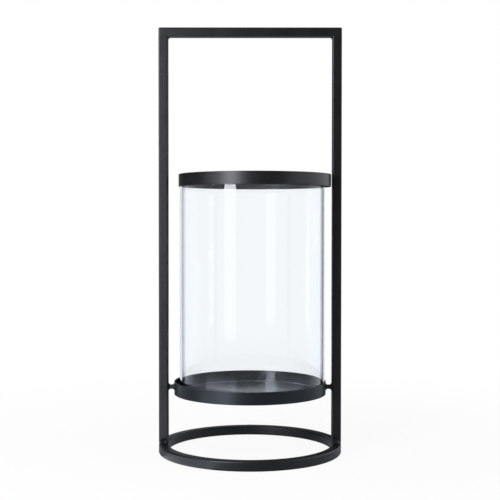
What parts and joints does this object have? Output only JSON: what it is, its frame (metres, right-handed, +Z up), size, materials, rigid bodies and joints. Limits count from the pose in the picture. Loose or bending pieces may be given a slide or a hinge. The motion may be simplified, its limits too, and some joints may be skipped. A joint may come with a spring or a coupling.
{
  "type": "hurricane candle lantern",
  "caption": "Tall candle lantern: a square-tube handle frame on a round base ring carries a shallow dish with a loose glass cylinder and a loose top ring.",
  "frame": {"origin": "on the floor, at the middle of the base ring", "axes": "+Z up the uprights, X along the handle bar and through the two dish pins, Y through the open front and back"},
  "size_m": [0.2026, 0.2026, 0.47],
  "materials": {
    "black_frame": "satin black powder coat on square steel tube",
    "black_weld": "satin black powder coat over weld beads",
    "black_sheet": "satin black powder coat on rolled strip and sheet",
    "clear_glass": "clear, with polished rims"
  },
  "bodies": {
    "frame": {"base_ring": "black_frame", "base_seam_weld": "black_weld", "left_upright": "black_frame", "right_upright": "black_frame", "top_bar": "black_frame", "left_corner_weld": "black_weld", "right_corner_weld": "black_weld", "left_foot_weld": "black_weld", "right_foot_weld": "black_weld", "left_pin": "black_frame", "right_pin": "black_frame", "left_pin_frame_weld": "black_weld", "right_pin_frame_weld": "black_weld", "left_pin_dish_weld": "black_weld", "right_pin_dish_weld": "black_weld", "dish_band": "black_sheet", "dish_seam_weld": "black_weld", "dish_plate": "black_sheet", "dish_tack_welds": "black_weld"},
    "glass": {"glass_cylinder": "clear_glass"},
    "top_ring": {"ring_band": "black_sheet", "ring_seam_weld": "black_weld", "ring_flange": "black_sheet", "ring_tack_welds": "black_weld"}
  },
  "joints": [
    {"name": "glass_lift", "type": "slide", "parent": "frame", "child": "glass", "axis": [0, 0, 1], "range_m": [0, 0.075]},
    {"name": "ring_lift", "type": "slide", "parent": "glass", "child": "top_ring", "axis": [0, 0, 1], "range_m": [0, 0.075]}
  ]
}
